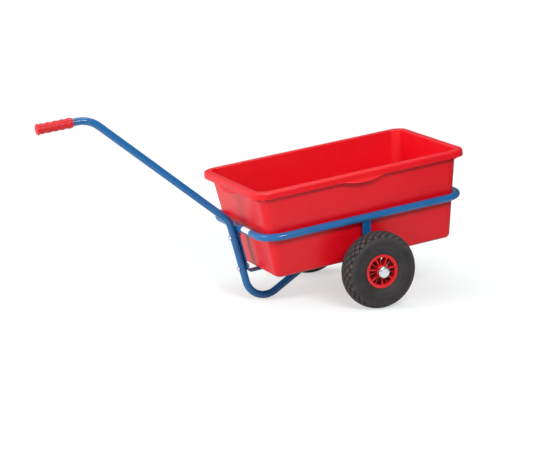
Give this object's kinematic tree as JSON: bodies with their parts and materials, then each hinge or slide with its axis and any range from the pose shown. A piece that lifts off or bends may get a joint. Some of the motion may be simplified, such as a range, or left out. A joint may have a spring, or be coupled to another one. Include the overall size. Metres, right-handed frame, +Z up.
{
  "type": "two-wheeled hand cart",
  "caption": "Hand cart with an open plastic tub held in a bent-tube and strap frame, a single bent handle that doubles as the parking foot, and wheels on a fixed axle.",
  "frame": {"origin": "on the floor, midway along the cart's overall length and on its plane of symmetry", "axes": "+X forwards, away from the handle; +Y to the left; +Z up"},
  "size_m": [1.4399, 0.6396, 0.6606],
  "materials": {
    "tub_plastic": "moulded polyethylene, satin",
    "frame_paint": "gloss powder coat",
    "axle_steel": "zinc plated",
    "grip_plastic": "soft moulded, satin",
    "zinc": "bright zinc plated",
    "tyre": "matt rubber",
    "rim_plastic": "moulded, gloss"
  },
  "bodies": {
    "cart": {"tub": "tub_plastic", "ring": "frame_paint", "cross_strap": "frame_paint", "long_strap": "frame_paint", "axle": "axle_steel", "handle_tube": "frame_paint", "grip": "grip_plastic", "leg_bolts": "zinc", "keel_bolt": "zinc", "hub_cap_right": "zinc", "hub_cap_left": "zinc"},
    "wheel_right": {"tyre_right": "tyre", "rim_right": "rim_plastic"},
    "wheel_left": {"tyre_left": "tyre", "rim_left": "rim_plastic"}
  },
  "joints": [
    {"name": "wheel_right_spin", "type": "hinge", "parent": "cart", "child": "wheel_right", "pos_m": [0.36114, -0.272, 0.13], "axis": [0, 1, 0], "continuous": true},
    {"name": "wheel_left_spin", "type": "hinge", "parent": "cart", "child": "wheel_left", "pos_m": [0.36114, 0.272, 0.13], "axis": [0, 1, 0], "continuous": true}
  ]
}
